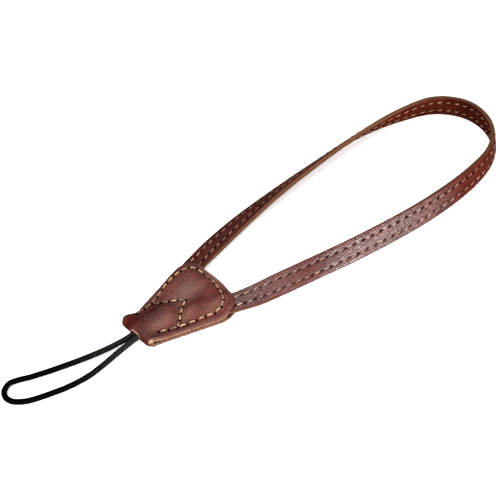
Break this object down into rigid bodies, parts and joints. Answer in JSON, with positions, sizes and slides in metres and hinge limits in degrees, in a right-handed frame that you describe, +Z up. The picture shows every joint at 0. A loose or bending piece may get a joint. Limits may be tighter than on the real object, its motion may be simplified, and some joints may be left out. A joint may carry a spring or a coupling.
{
  "type": "camera hand strap",
  "caption": "Flat stitched leather wrist loop, its ends sewn into a folded leather tab, with a thin braided cord loop through the fold for a camera's strap lug.",
  "frame": {"origin": "on the surface that the strap lies on, under the middle of the folded tab, on the tab's flat underside", "axes": "+X from the tab towards the far end of the wrist loop, +Y to its left, +Z up from the surface"},
  "size_m": [0.2586, 0.0716, 0.0102],
  "materials": {
    "tab_leather": "waxed reddish-brown leather with a soft sheen",
    "strap_leather": "waxed reddish-brown leather with a soft sheen",
    "strap_lining_leather": "darker brown leather, satin",
    "thread": "waxed natural linen thread",
    "cord": "black braided cord"
  },
  "bodies": {
    "root": {"end_tab": "tab_leather", "strap_outer_ply": "strap_leather", "strap_inner_ply": "strap_lining_leather", "cord_loop": "cord"}
  },
  "joints": []
}
